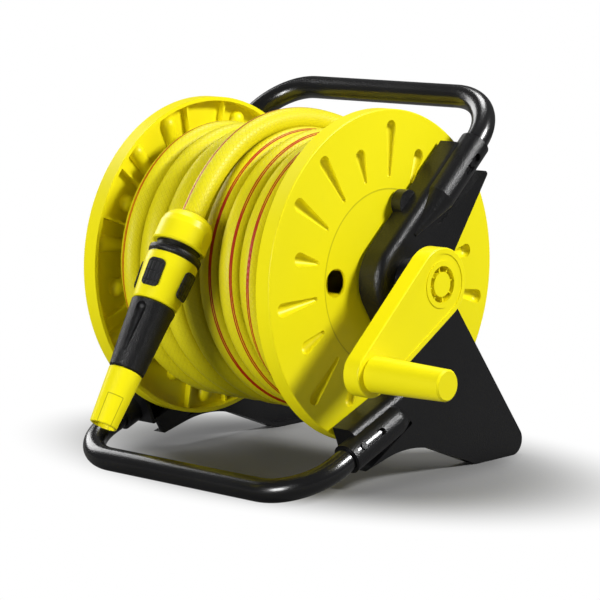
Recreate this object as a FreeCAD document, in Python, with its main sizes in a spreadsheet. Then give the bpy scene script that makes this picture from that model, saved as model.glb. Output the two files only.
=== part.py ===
import FreeCAD, Part
import math
import os
import re
import Sketcher
from FreeCAD import Placement, Rotation, Vector

# Compact garden hose reel: a two-flange drum with its wound hose, carried between two moulded side
# panels that are joined by a tubular handle and a tubular front foot.
# Millimetres. +Z up, -Y is the front, +X is the crank side. The origin is on the floor, below the
# middle of the frame's and drum's overall box. "Axle coordinates" below are counted from the drum
# axis, midway between the flanges.

doc = FreeCAD.newDocument("hose_reel")
sheet = doc.addObject("Spreadsheet::Sheet", "sizes")

SIZES = {
    # frame tubes
    "tube_diameter": 18.0,
    "tube_wall": 1.2,
    "tube_offset": 20.0,
    "handle_reach": 111.0,
    "handle_rise": 127.4,
    "handle_lean": 47.9,
    "handle_bend": 46.0,
    "handle_leg": 100.0,
    "foot_reach": 117.0,
    "foot_slope": 22.4,
    "foot_bend": 42.0,
    "foot_leg": 108.0,
    "axle_height": 154.0,
    # side panels
    "panel_gap": 3.0,
    "panel_depth": 12.0,
    "beam_depth": 21.0,
    "beam_round": 7.0,
    "edge_round": 1.0,
    "panel_wall": 3.0,
    "recess_wall": 2.5,
    "beam_back": 12.5,
    "hub_front": 32.5,
    "neck_angle": 57.0,
    "handle_edge": 12.4,
    "foot_edge": 16.0,
    "arm_end": 57.5,
    "leg_end": 67.5,
    "rim_width": 36.0,
    "waist_reach": 49.0,
    "rear_foot_reach": 160.0,
    "arch_front": 40.0,
    "arch_peak": 17.0,
    "arch_rear": 92.0,
    "arch_height": 29.0,
    "socket_wall": 2.6,
    "socket_fade": 38.0,
    "handle_mouth": 47.0,
    "foot_mouth": 54.0,
    "snap_diameter": 5.0,
    "snap_depth": 67.0,
    "window_length": 20.0,
    "window_width": 6.5,
    "lug_radius": 10.0,
    "lug_reach": 14.2,
    "lug_rise": 55.0,
    # axle line
    "shaft_diameter": 18.0,
    "bush_wall": 3.0,
    "bush_flange": 3.5,
    "boss_length": 31.0,
    "boss_wall": 4.5,
    "square_size": 12.0,
    "running_gap": 0.05,
    "seat_gap": 0.05,
    "face_gap": 0.3,
    # drum
    "drum_half_width": 97.0,
    "flange_radius": 125.0,
    "rim_depth": 13.0,
    "flange_wall": 3.0,
    "barrel_radius": 51.0,
    "barrel_wall": 3.0,
    "cover_radius": 66.5,
    "cover_wall": 2.6,
    "cover_hole_radius": 10.8,
    "cover_hole_place": 54.0,
    "cover_hole_angle": 179.0,
    "finger_depth": 11.2,
    "pocket_count": 18.0,
    "pocket_inner": 76.0,
    "pocket_long": 111.5,
    "pocket_short": 95.5,
    "pocket_wide": 5.3,
    "pocket_narrow": 1.9,
    "pocket_skin": 2.0,
    "rib_height": 5.0,
    "rib_thick": 2.0,
    "flange_plate_radius": 26.0,
    "flange_plate_thick": 4.0,
    "cover_screw_place": 20.0,
    "cover_screw_radius": 2.0,
    # hose
    "hose_diameter": 17.5,
    "winding_radius": 107.2,
    "winding_margin": 15.5,
    # crank
    "crank_gap": 8.0,
    "crank_hub_radius": 27.0,
    "crank_end_radius": 17.5,
    "crank_throw": 94.0,
    "crank_angle": 217.0,
    "crank_thick": 14.0,
    "crank_boss_radius": 16.0,
    "cap_radius": 13.5,
    "cap_disc_radius": 9.2,
    "cap_rib": 1.0,
    "cap_thick": 8.0,
    "arm_border": 4.5,
    "arm_recess": 0.6,
    "pin_radius": 4.0,
    "grip_base_radius": 13.3,
    "grip_end_radius": 11.5,
    "grip_length": 67.7,
    "grip_cap": 3.0,
    # water inlet
    "water_bore": 10.0,
    "elbow_radius": 14.0,
    "elbow_gap": 2.0,
    "elbow_length": 18.7,
    "elbow_arm": 34.0,
    "outlet_place": 27.0,
    "nipple_radius": 8.0,
    "nipple_length": 24.0,
    # connector and nozzle on the hose end
    "nut_place_x": 11.5,
    "nut_place_radius": 126.4,
    "nut_place_angle": 157.7,
    "nozzle_lean": 32.5,
    "nut_radius": 20.3,
    "nut_length": 25.0,
    "ring_radius": 20.0,
    "sleeve_start": 35.5,
    "sleeve_length": 36.0,
    "sleeve_radius": 19.4,
    "sleeve_end_radius": 17.0,
    "sleeve_travel": 4.0,
    "core_radius": 14.0,
    "plug_radius": 8.0,
    "nozzle_start": 72.0,
    "nozzle_length": 53.0,
    "nozzle_radius": 16.8,
    "nozzle_end_radius": 13.2,
    "tip_length": 42.5,
    "tip_radius": 12.6,
    "tip_end_radius": 10.2,
    "tip_wall": 1.8,
    "stem_radius": 8.6,
}

for row, (alias, number) in enumerate(SIZES.items(), start=1):
    sheet.set(f"A{row}", alias.replace("_", " "))
    sheet.set(f"B{row}", str(number))
    sheet.setAlias(f"B{row}", alias)
doc.recompute()


def size(alias):
    """The sheet's value of one size."""
    return float(sheet.get(alias))


def bound(formula):
    """The formula with each size's name made a reference to the sheet."""
    return re.sub(r"[a-z][a-z_]+", lambda word: "sizes." + word.group(0), str(formula))


def number(formula):
    """The formula's value now."""
    return float(sheet.evalExpression(str(formula)))


def turn(degrees):
    """Unit vector in the YZ plane at an angle from +Y towards +Z."""
    angle = math.radians(degrees)
    return Vector(0, math.cos(angle), math.sin(angle))


# ---------------------------------------------------------------- places worked out from the sizes

tube_radius = size("tube_diameter") / 2
shaft_radius = size("shaft_diameter") / 2
hose_radius = size("hose_diameter") / 2
panel_inner = size("drum_half_width") + size("panel_gap")
tube_side = panel_inner + size("tube_offset")
panel_plate = panel_inner + size("panel_depth")
beam_face = panel_inner + size("beam_depth")
boss_end = panel_inner + size("boss_length")
winding_half = size("drum_half_width") - size("winding_margin")
socket_radius = tube_radius + size("running_gap") + size("socket_wall")
crank_inner = boss_end + size("crank_gap")
crank_outer = crank_inner + size("crank_thick")
grip_start = crank_outer + size("face_gap")
grip_end = grip_start + size("grip_length")
clip_thick = 0.8
elbow_start = boss_end + size("elbow_gap")
elbow_end = elbow_start + size("elbow_length")
elbow_middle = elbow_start + size("elbow_length") / 2

# the box of the frame, drum and crank, without the hose end, sets the origin
front_reach = size("foot_reach") + tube_radius
floor_corner = 11.5
rear_edge = Vector(0, size("rear_foot_reach") - size("waist_reach"), 5 - size("axle_height"))
rear_slope = math.atan2(-rear_edge.z, rear_edge.y)
rear_reach = size("rear_foot_reach") - floor_corner / math.tan(rear_slope / 2) + floor_corner
axle = Vector(
    (elbow_end - grip_end) / 2,
    (front_reach - rear_reach) / 2,
    size("axle_height"),
)


def place(piece, base=Vector(), rotation=Rotation()):
    """Puts a piece at a point given in axle coordinates."""
    piece.Placement = Placement(axle + base, rotation)
    return piece


def shaped(label, shape, base=Vector(), rotation=Rotation()):
    """A sub-part whose shape is worked out by Part's functions, in axle coordinates."""
    piece = doc.addObject("Part::Feature", label)
    piece.Label = label
    piece.Shape = shape
    return place(piece, base, rotation)


def origin_plane(body, role):
    return next(item for item in body.Origin.OriginFeatures if item.Role == role)


def turned(label, profile, base=Vector(), direction=Vector(1, 0, 0)):
    """A turned piece. The profile's corners are (distance along the axis, radius), as formulas of
    the sheet's sizes; it is sketched in the body's XZ plane and revolved about the body's X axis,
    which then points along direction from base."""
    body = doc.addObject("PartDesign::Body", label)
    body.Label = label
    sketch = body.newObject("Sketcher::SketchObject", label + "_profile")
    sketch.AttachmentSupport = (origin_plane(body, "XZ_Plane"), [""])
    sketch.MapMode = "FlatFace"
    corners = [Vector(number(along), number(radius), 0) for along, radius in profile]
    count = len(corners)
    for index in range(count):
        sketch.addGeometry(Part.LineSegment(corners[index], corners[(index + 1) % count]))
    for index in range(count):
        following = (index + 1) % count
        sketch.addConstraint(Sketcher.Constraint("Coincident", index, 2, following, 1))
    for index, (along, radius) in enumerate(profile):
        for kind, formula, value in (
            ("DistanceX", along, corners[index].x),
            ("DistanceY", radius, corners[index].y),
        ):
            made = sketch.addConstraint(Sketcher.Constraint(kind, -1, 1, index, 1, value))
            if re.search("[a-z]", str(formula)):
                sketch.setExpression(f"Constraints[{made}]", bound(formula))
    revolution = body.newObject("PartDesign::Revolution", label + "_turn")
    revolution.Profile = sketch
    revolution.ReferenceAxis = (sketch, ["H_Axis"])
    revolution.Angle = 360
    return place(body, base, Rotation(Vector(1, 0, 0), direction))


def cylinder(radius, start, end, direction, through=Vector()):
    """A solid cylinder along direction, from start to end measured from the point through."""
    base = through + direction * min(start, end)
    return Part.makeCylinder(radius, abs(end - start), base, direction)


def rounded(corners, inset=0.0):
    """A closed outline in the YZ plane from (y, z, corner radius), run clockwise or anticlockwise.
    A positive inset moves every side inwards by that distance. A corner of radius 0 stays sharp."""
    points = [Vector(0, y, z) for y, z, radius in corners]
    radii = [radius for y, z, radius in corners]
    count = len(points)
    area = sum(
        points[i].y * points[(i + 1) % count].z - points[(i + 1) % count].y * points[i].z
        for i in range(count)
    )
    side = 1 if area > 0 else -1
    sides = []
    for i in range(count):
        along = (points[(i + 1) % count] - points[i]).normalize()
        inward = Vector(0, -along.z, along.y) * side
        sides.append((along, inward))
    moved = []
    for i in range(count):
        before, after = sides[i - 1], sides[i]
        convex = (before[0].y * after[0].z - before[0].z * after[0].y) * side > 0
        shift = (before[1] + after[1]) * (inset / (1 + before[1].dot(after[1])))
        radius = radii[i] - inset if convex else radii[i] + inset
        moved.append((points[i] + shift, max(radius, 0.5) if radii[i] else 0))
    edges = []
    ends = []
    for i in range(count):
        corner, radius = moved[i]
        before, after = sides[i - 1][0], sides[i][0]
        half = before.getAngle(after) / 2
        back = radius * math.tan(half)
        first = corner - before * back
        last = corner + after * back
        bisector = (after - before).normalize()
        middle = corner + bisector * (radius / math.cos(half) - radius)
        ends.append((first, middle, last))
    for i in range(count):
        first, middle, last = ends[i]
        if radii[i]:
            edges.append(Part.Arc(first, middle, last).toShape())
        edges.append(Part.LineSegment(last, ends[(i + 1) % count][0]).toShape())
    return Part.Wire(edges)


def plate(corners, low, high, inset=0.0):
    """The outline's solid between two distances along X."""
    face = Part.Face(rounded(corners, inset))
    solid = face.extrude(Vector(high - low, 0, 0))
    solid.translate(Vector(low, 0, 0))
    return solid


def revolved(profile):
    """The solid of revolution about X of the corners (distance along X, radius)."""
    points = [Vector(along, radius, 0) for along, radius in profile]
    return Part.Face(Part.makePolygon(points + points[:1])).revolve(Vector(), Vector(1, 0, 0), 360)


def fused(shapes):
    return shapes[0].fuse(shapes[1:]).removeSplitter()


def softened(solid, face, radius, chain=()):
    """The solid with the edges that lie in the plane X = face rounded: all of them, or those of
    the chain."""
    middles = [edge.CenterOfMass for edge in chain]
    edges = []
    for edge in solid.Edges:
        if any(abs(vertex.X - face) > 1e-6 for vertex in edge.Vertexes):
            continue
        middle = Vector(0, edge.CenterOfMass.y, edge.CenterOfMass.z)
        if not chain or any((middle - other).Length < 1e-6 for other in middles):
            edges.append(edge)
    return solid.makeFillet(radius, edges)


def mirrored(shape):
    """The shape on the other side of the drum's middle plane."""
    return shape.mirror(Vector(0, 0, 0), Vector(1, 0, 0))


# ---------------------------------------------------------------- frame tubes

handle_start = Vector(0, size("handle_reach"), size("handle_rise"))
handle_way = turn(270 - size("handle_lean"))
handle_up = turn(180 - size("handle_lean"))
foot_start = Vector(0, -size("foot_reach"), tube_radius - size("axle_height"))
foot_way = turn(size("foot_slope"))
foot_up = turn(90 + size("foot_slope"))


def on_handle(along, above):
    """Point in the panel's plane, along the handle's leg from its cross bar, above its axis."""
    return handle_start + handle_way * along + handle_up * above


def on_foot(along, above):
    """Point in the panel's plane, along the foot's leg from its cross bar, above its axis."""
    return foot_start + foot_way * along + foot_up * above


def u_tube(start, way, bend, leg, snap_axis):
    """A tube bent to a U: a cross bar along X and two legs, with a cross hole for each snap pin."""
    across = Vector(1, 0, 0)
    diagonal = bend * (1 - math.sqrt(0.5))
    corner = start + across * tube_side
    other = start - across * tube_side
    path = Part.Wire(
        [
            Part.LineSegment(other + way * leg, other + way * bend).toShape(),
            Part.Arc(
                other + way * bend,
                other + (way + across) * diagonal,
                other + across * bend,
            ).toShape(),
            Part.LineSegment(other + across * bend, corner - across * bend).toShape(),
            Part.Arc(
                corner - across * bend,
                corner + (way - across) * diagonal,
                corner + way * bend,
            ).toShape(),
            Part.LineSegment(corner + way * bend, corner + way * leg).toShape(),
        ]
    )
    walls = []
    for radius in (tube_radius, tube_radius - size("tube_wall")):
        ring = Part.Wire([Part.makeCircle(radius, other + way * leg, way)])
        walls.append(path.makePipeShell([ring], True, False))
    tube = walls[0].cut(walls[1])
    hole = size("snap_diameter") / 2 + size("seat_gap")
    for sign in (1, -1):
        outward = Vector(sign * snap_axis.x, snap_axis.y, snap_axis.z)
        place_on_leg = start + way * size("snap_depth") + across * (sign * tube_side)
        tube = tube.cut(cylinder(hole, tube_radius / 2, tube_radius + 1, outward, place_on_leg))
    return tube


handle_snap_axis = Vector(1, 0, 0)
foot_snap_tilt = math.radians(32)
foot_snap_axis = Vector(math.cos(foot_snap_tilt), 0, 0) + foot_up * math.sin(foot_snap_tilt)

shaped(
    "handle_tube",
    u_tube(handle_start, handle_way, size("handle_bend"), size("handle_leg"), handle_snap_axis),
)
shaped(
    "base_tube",
    u_tube(foot_start, foot_way, size("foot_bend"), size("foot_leg"), foot_snap_axis),
)


def snap_pins(start, way, axis):
    """One pin at each leg, in the tube's hole and the socket's window."""
    pins = []
    inner = tube_radius - size("tube_wall") - 3
    outer = socket_radius - 1.6
    for sign in (1, -1):
        outward = Vector(sign * axis.x, axis.y, axis.z)
        middle = start + way * size("snap_depth") + Vector(sign * tube_side, 0, 0)
        pins.append(cylinder(size("snap_diameter") / 2, inner, outer, outward, middle))
    return Part.makeCompound(pins)


shaped("handle_snap_pins", snap_pins(handle_start, handle_way, handle_snap_axis))
shaped("base_snap_pins", snap_pins(foot_start, foot_way, foot_snap_axis))

# ---------------------------------------------------------------- side panels


def corner(point, radius):
    return (point.y, point.z, radius)


def panel_outline():
    """The panel's outline: handle arm, rounded hub front, neck, front leg, arch and rear foot."""
    front = size("hub_front")
    arm_normal = handle_up
    neck_normal = turn(180 + 90 - size("neck_angle"))
    hub_corner = (arm_normal + neck_normal) * (front / (1 + arm_normal.dot(neck_normal)))
    neck_way = turn(size("neck_angle") * -1)
    neck_start = neck_normal * front
    edge_point = on_foot(0, size("foot_edge"))
    # where the neck's front line meets the front leg's upper edge
    gap = edge_point - neck_start
    run = gap.dot(foot_up) / neck_way.dot(foot_up)
    neck_foot = neck_start + neck_way * run
    floor = -size("axle_height")
    return [
        corner(on_handle(size("arm_end"), size("handle_edge")), 0),
        corner(hub_corner, front),
        corner(neck_foot, 14),
        corner(on_foot(size("leg_end"), size("foot_edge")), 0),
        corner(on_foot(size("leg_end") + 7, -25), 3),
        (size("arch_peak"), floor + size("arch_height"), 100),
        (size("arch_rear"), floor, 4),
        (size("rear_foot_reach"), floor, floor_corner),
        (size("waist_reach"), -5, 15),
        corner(on_handle(size("arm_end") - 13.5, -size("rim_width")), 2),
    ]


def beam_outline(front):
    """The raised band along the panel's front: arm, hub and front leg."""
    back = size("beam_back")
    return front[:4] + [
        corner(on_foot(size("leg_end"), -back), 2),
        corner(on_foot(size("leg_end") + 52, -back), 12),
        (30, -66, 24),
        (30, -8, 16),
        corner(on_handle(size("arm_end") + 72, -back), 12),
        corner(on_handle(size("arm_end") - 5, -back), 2),
    ]


def sockets():
    """The two tube sockets: the handle's fades into the panel, the foot's has a domed end."""
    side = Vector(tube_side, 0, 0)
    closed = size("handle_leg") + size("panel_wall")
    return [
        cylinder(socket_radius, size("handle_mouth"), closed, handle_way, handle_start + side),
        Part.makeCone(
            socket_radius,
            socket_radius / 6,
            size("socket_fade"),
            handle_start + side + handle_way * closed,
            handle_way,
        ),
        cylinder(socket_radius, size("foot_mouth"), size("foot_leg"), foot_way, foot_start + side),
        Part.makeSphere(socket_radius, foot_start + side + foot_way * size("foot_leg")),
    ]


def lug():
    """The rounded lug at the back of the panel's arm."""
    middle = Vector(0, size("lug_reach"), size("lug_rise"))
    return cylinder(size("lug_radius"), panel_inner - 0.8, panel_inner + 8, Vector(1, 0, 0), middle)


def slot(start, way, axis, first, last, width):
    """A round-ended window through a socket's outer wall, along the leg."""
    middle = start + Vector(tube_side, 0, 0)
    ends = [
        cylinder(width / 2, tube_radius - 1, socket_radius + 2, axis, middle + way * distance)
        for distance in (first, last)
    ]
    across = axis.cross(way)
    low = middle + way * first - across * (width / 2) + axis * (tube_radius - 1)
    face = Part.Face(
        Part.makePolygon(
            [
                low,
                low + way * (last - first),
                low + way * (last - first) + across * width,
                low + across * width,
                low,
            ]
        )
    )
    return fused(ends + [face.extrude(axis * (socket_radius + 3 - tube_radius))])


# the two deep recesses beside the sockets: corners and their radii
RECESS_ABOVE = (
    (on_handle(40, -12.5), 1.5),
    (on_handle(112, -12.5), 5),
    (on_handle(112, -23), 6),
    (on_handle(40, -33.5), 2),
)
RECESS_BELOW = (
    (on_foot(66, -12.5), 1.5),
    (on_foot(132, -12.5), 1),
    (on_foot(136, -19), 1.5),
    (on_foot(84, -25.5), 8),
    (on_foot(66, -24), 1.5),
)


def recess_block(corners):
    """The solid that a recess is sunk into, kept within the panel's outline."""
    outline = [corner(point, radius) for point, radius in corners]
    block = plate(outline, panel_inner, panel_plate, -size("recess_wall"))
    return block.common(plate(panel_outline(), panel_inner, panel_plate))


def recess_room(corners):
    """The recess itself, down to its floor."""
    outline = [corner(point, radius) for point, radius in corners]
    return plate(outline, panel_inner + size("recess_wall"), panel_plate + 20)


def side_panel():
    """The crank side's panel: a tray that opens towards the drum, a raised band along its front,
    two tube sockets, the axle boss and a rounded lug."""
    inner = panel_inner
    wall = size("panel_wall")
    outline = panel_outline()
    beam = beam_outline(outline)
    front_edges = rounded(beam).OrderedEdges[:5]
    band = softened(plate(beam, inner, beam_face), beam_face, size("beam_round"), front_edges)
    body = fused([plate(outline, inner, panel_plate), band, lug()] + sockets())
    hollow = fused(
        [
            plate(outline, inner - 1, panel_plate - wall, wall),
            plate(beam, inner - 1, beam_face - size("beam_round"), wall),
        ]
    )
    body = body.cut(hollow.cut(fused(sockets() + [lug()])))
    for corners in (RECESS_ABOVE, RECESS_BELOW):
        body = body.fuse(recess_block(corners))
        body = body.cut(recess_room(corners))
    boss = cylinder(
        shaft_radius + size("bush_wall") + size("boss_wall"),
        inner,
        boss_end,
        Vector(1, 0, 0),
    )
    body = body.fuse(boss)
    tube_bore = tube_radius + size("running_gap")
    side = Vector(tube_side, 0, 0)
    cuts = [
        cylinder(tube_bore, 0, size("handle_leg") + 1, handle_way, handle_start + side),
        cylinder(tube_bore, 0, size("foot_leg") + 1, foot_way, foot_start + side),
        cylinder(shaft_radius + size("bush_wall") + size("seat_gap"), inner - 5, boss_end + 5,
                 Vector(1, 0, 0)),
        slot(handle_start, handle_way, handle_snap_axis, size("snap_depth") - 6,
             size("snap_depth") + size("window_length") - 12, size("window_width")),
        slot(foot_start, foot_way, foot_snap_axis, size("snap_depth") - 6,
             size("snap_depth") + size("window_length"), size("window_width") - 1.2),
    ]
    for cut in cuts:
        body = body.cut(cut)
    return body.removeSplitter()


crank_panel = side_panel()
shaped("side_panel_crank", crank_panel)
shaped("side_panel_inlet", mirrored(crank_panel))

# ---------------------------------------------------------------- bushes and shafts

BUSH = [
    ("0.8 - bush_flange", "shaft_diameter / 2 + running_gap"),
    ("boss_length", "shaft_diameter / 2 + running_gap"),
    ("boss_length", "shaft_diameter / 2 + bush_wall"),
    ("0", "shaft_diameter / 2 + bush_wall"),
    ("0", "shaft_diameter / 2 + bush_wall + 3"),
    ("0.8 - bush_flange", "shaft_diameter / 2 + bush_wall + 3"),
]
turned("axle_bush_crank", BUSH, Vector(panel_inner, 0, 0))
turned("axle_bush_inlet", BUSH, Vector(-panel_inner, 0, 0), Vector(-1, 0, 0))

cover_inner = size("drum_half_width") - size("cover_wall")
plate_inner = cover_inner - size("flange_plate_thick")
screw_hole = size("cover_screw_radius") + size("seat_gap")


def around(count, start=0.0):
    """Unit vectors evenly spaced round the drum axis."""
    return [turn(start + 360 * index / count) for index in range(count)]


def shaft_blank(end):
    """A shaft with the round plate that screws to the hub cover's inner face."""
    blank = cylinder(shaft_radius, plate_inner, end, Vector(1, 0, 0)).fuse(
        cylinder(size("flange_plate_radius"), plate_inner, cover_inner, Vector(1, 0, 0))
    )
    for way in around(4, 45):
        hole = cylinder(
            screw_hole,
            plate_inner - 1,
            cover_inner + 1,
            Vector(1, 0, 0),
            way * size("cover_screw_place"),
        )
        blank = blank.cut(hole)
    return blank


square = size("square_size")
shaft_square = Part.makeBox(
    crank_outer - size("cap_thick") - 1.5 - boss_end,
    square,
    square,
    Vector(boss_end, -square / 2, -square / 2),
)
screw_seat = crank_outer - size("cap_thick") - 1.5
crank_screw_radius = 2.0
drive_shaft = shaft_blank(boss_end).fuse(shaft_square)
drive_shaft = drive_shaft.cut(
    cylinder(crank_screw_radius + size("seat_gap"), screw_seat - 18, screw_seat + 1, Vector(1, 0, 0))
)
shaped("drive_shaft", drive_shaft)

axle_end = elbow_end - 3
groove_radius = shaft_radius - 2.0
ring_places = [elbow_start + 4, elbow_start + 9.5]
ring_section = 1.0
inlet_spigot = 8.0
water_axle = shaft_blank(axle_end).fuse(
    cylinder(shaft_radius, plate_inner - inlet_spigot, plate_inner, Vector(1, 0, 0))
)
for station, width, radius in [
    (boss_end + size("face_gap"), clip_thick, shaft_radius - 0.8),
    (ring_places[0] - 1.2, 2.4, groove_radius),
    (ring_places[1] - 1.2, 2.4, groove_radius),
]:
    groove = cylinder(shaft_radius + 1, station, station + width, Vector(1, 0, 0)).cut(
        cylinder(radius, station - 1, station + width + 1, Vector(1, 0, 0))
    )
    water_axle = water_axle.cut(groove)
water_axle = water_axle.cut(
    cylinder(size("water_bore") / 2, plate_inner - 30, axle_end + 5, Vector(1, 0, 0))
)
shaped("water_axle", mirrored(water_axle))

clip_start = boss_end + size("face_gap")
clip = cylinder(
    shaft_radius + 3.2, clip_start, clip_start + clip_thick, Vector(1, 0, 0)
).cut(cylinder(shaft_radius - 0.8, clip_start - 1, clip_start + 3, Vector(1, 0, 0)))
clip = clip.cut(Part.makeBox(6, 10, 20, Vector(clip_start - 2, -5, -20 - shaft_radius / 2)))
shaped("axle_clip", mirrored(clip))

seal_rings = [
    Part.makeTorus(groove_radius + ring_section, ring_section, Vector(-station, 0, 0), Vector(1, 0, 0))
    for station in ring_places
]
shaped("axle_seal_rings", Part.makeCompound(seal_rings))

# ---------------------------------------------------------------- drum


def teardrop(inner, outer, narrow, wide, grown, way, distance):
    """A pocket's body of revolution: round and wide at its outer end, narrow at its inner end,
    lying in the plane at a distance along X. grown thickens it on every side."""
    small, large = narrow + grown, wide + grown
    slope = math.asin((large - small) / (outer - inner))
    centre = Vector(distance, 0, 0)
    tangent = way * -math.sin(slope) + Vector(1, 0, 0) * math.cos(slope)
    start = centre + way * (inner - small)
    end = centre + way * (outer + large)
    first = centre + way * inner + tangent * small
    last = centre + way * outer + tangent * large
    bisect_in = (tangent - way).normalize()
    bisect_out = (tangent + way).normalize()
    profile = Part.Wire(
        [
            Part.Arc(start, centre + way * inner + bisect_in * small, first).toShape(),
            Part.LineSegment(first, last).toShape(),
            Part.Arc(last, centre + way * outer + bisect_out * large, end).toShape(),
            Part.LineSegment(end, start).toShape(),
        ]
    )
    return Part.Face(profile).revolve(centre, way, 360)


def drum_half(phase, turn_sign, spigot):
    """One flange with its rim, pockets and ribs, and its half of the barrel. phase is the angle of
    the first pocket and turn_sign the way the pattern runs. The spigot half enters the other."""
    face = size("drum_half_width")
    wall = size("flange_wall")
    inside = face - wall
    axis = Vector(1, 0, 0)
    flange = size("flange_radius")
    barrel = size("barrel_radius")
    body = softened(cylinder(flange, face - size("rim_depth"), face, axis), face, size("edge_round"))
    body = body.cut(cylinder(flange - wall, face - size("rim_depth") - 1, inside, axis))
    body = body.cut(cylinder(barrel - size("barrel_wall"), -1, face + 1, axis))
    step = 3.0 if spigot else 0.0
    tube = cylinder(barrel, step, inside + 0.5, axis).cut(
        cylinder(barrel - size("barrel_wall"), step - 1, face, axis)
    )
    additions = [tube]
    if spigot:
        half_wall = size("barrel_wall") / 2 - size("seat_gap")
        lip = cylinder(barrel - size("barrel_wall") + half_wall, -3, step, axis)
        additions.append(lip.cut(cylinder(barrel - size("barrel_wall"), -4, step + 1, axis)))
    else:
        half_wall = size("barrel_wall") / 2
        body_cut = cylinder(barrel - half_wall, -1, 3, axis)
        additions[0] = tube.cut(body_cut)
        lip = cylinder(barrel, -3, 0, axis).cut(cylinder(barrel - half_wall, -4, 1, axis))
        additions.append(lip)
    spacing = 360 / size("pocket_count")
    pockets = []
    for index in range(int(size("pocket_count"))):
        is_long = index % 2 == 0 if index < 6 else index % 2 == 1
        outer = size("pocket_long") if is_long else size("pocket_short")
        way = turn(phase + turn_sign * spacing * index)
        pockets.append((outer, way))
        bump = teardrop(
            size("pocket_inner"),
            outer,
            size("pocket_narrow"),
            size("pocket_wide"),
            size("pocket_skin"),
            way,
            inside + 1,
        )
        additions.append(bump)
    for index in range(int(size("pocket_count"))):
        if index % 3 == 0:
            continue
        angle = phase + turn_sign * spacing * (index - 0.5)
        reach = flange - wall / 2 - size("cover_radius") - 4
        rib = Part.makeBox(
            size("rib_height") + 1,
            reach,
            size("rib_thick"),
            Vector(inside - size("rib_height"), size("cover_radius") + 4, -size("rib_thick") / 2),
        )
        rib.rotate(Vector(), axis, angle)
        additions.append(rib)
    body = body.fuse(additions)
    outside = cylinder(flange + 50, face, face + 30, axis)
    rebate = cylinder(
        size("cover_radius") + size("seat_gap"), face - size("cover_wall"), face + 1, axis
    )
    tools = [outside, rebate]
    for outer, way in pockets:
        tools.append(
            teardrop(
                size("pocket_inner"),
                outer,
                size("pocket_narrow"),
                size("pocket_wide"),
                0,
                way,
                face,
            )
        )
    backing = cylinder(size("cover_radius") + 3, cover_inner - wall, cover_inner, axis).cut(
        cylinder(barrel - size("barrel_wall"), 0, face, axis)
    )
    finger = turn(size("cover_hole_angle")) * size("cover_hole_place")
    floor = cover_inner - size("finger_depth")
    well = cylinder(size("cover_hole_radius") + 2, floor - 1.5, cover_inner, axis, finger)
    well = well.cut(cylinder(barrel - size("barrel_wall"), 0, face, axis))
    tools.append(cylinder(size("cover_hole_radius"), floor, face + 1, axis, finger))
    return body.fuse([backing, well]).cut(tools).removeSplitter()


outlet_x = size("outlet_place") - size("drum_half_width")
crank_half = drum_half(126.5, -1, False)
inlet_half = mirrored(drum_half(130.0, 1, True))
hose_gate = cylinder(
    hose_radius + 2.5, size("barrel_radius") - 8, size("barrel_radius") + 8, Vector(0, 0, 1),
    Vector(outlet_x, 0, 0)
)
shaped("drum_half_crank", crank_half)
shaped("drum_half_inlet", inlet_half.cut(hose_gate))


def hub_cover():
    """The round cover set in the flange's middle, with a finger hole and the shaft's hole."""
    axis = Vector(1, 0, 0)
    cover = cylinder(size("cover_radius"), cover_inner, size("drum_half_width"), axis)
    cover = cover.cut(cylinder(shaft_radius + size("seat_gap"), cover_inner - 1, cover_inner + 9, axis))
    finger = turn(size("cover_hole_angle")) * size("cover_hole_place")
    cover = cover.cut(
        cylinder(size("cover_hole_radius"), cover_inner - 1, cover_inner + 9, axis, finger)
    )
    for way in around(4, 45):
        hole = way * size("cover_screw_place")
        cover = cover.cut(cylinder(screw_hole, cover_inner - 1, cover_inner + 9, axis, hole))
    return cover


shaped("hub_cover_crank", hub_cover())
shaped("hub_cover_inlet", mirrored(hub_cover()))


def cover_screws():
    """Four countersunk screws through the cover into the shaft's plate."""
    screws = []
    head = 1.6
    face = size("drum_half_width")
    for way in around(4, 45):
        foot = way * size("cover_screw_place")
        shank = cylinder(size("cover_screw_radius"), plate_inner - 3, face + 0.1, Vector(1, 0, 0), foot)
        pan = cylinder(size("cover_screw_radius") * 2, face, face + head, Vector(1, 0, 0), foot)
        screws.append(shank.fuse(pan).removeSplitter())
    return Part.makeCompound(screws)


shaped("cover_screws_crank", cover_screws())
shaped("cover_screws_inlet", mirrored(cover_screws()))

# water outlet inside the drum: from the axle's inner end up to the hose gate in the barrel
outlet_end = inlet_spigot - plate_inner
outlet_rise = size("barrel_radius") - 9
drum_elbow = fused(
    [
        cylinder(11, outlet_x - 11, outlet_x + 9, Vector(1, 0, 0)),
        cylinder(12, outlet_end - inlet_spigot + 0.3, outlet_x, Vector(1, 0, 0)),
        cylinder(6.5, 0, outlet_rise, Vector(0, 0, 1), Vector(outlet_x, 0, 0)),
        Part.makeCone(7.6, 6.3, 5, Vector(outlet_x, 0, outlet_rise - 6), Vector(0, 0, 1)),
        Part.makeCone(7.6, 6.3, 5, Vector(outlet_x, 0, outlet_rise - 13), Vector(0, 0, 1)),
    ]
)
drum_elbow = drum_elbow.cut(
    cylinder(shaft_radius + size("seat_gap"), outlet_end - 9, outlet_end, Vector(1, 0, 0))
)
drum_elbow = drum_elbow.cut(cylinder(5, outlet_end - 1, outlet_x, Vector(1, 0, 0)))
drum_elbow = drum_elbow.cut(
    cylinder(4, 0, outlet_rise + 1, Vector(0, 0, 1), Vector(outlet_x, 0, 0))
)
shaped("drum_outlet_elbow", drum_elbow)
clamp_rise = outlet_rise - 20
hose_clamp = cylinder(10.5, clamp_rise, clamp_rise + 6, Vector(0, 0, 1), Vector(outlet_x, 0, 0))
hose_clamp = hose_clamp.fuse(
    Part.makeBox(8, 7, 6, Vector(outlet_x - 4, 7, clamp_rise))
)
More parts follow.
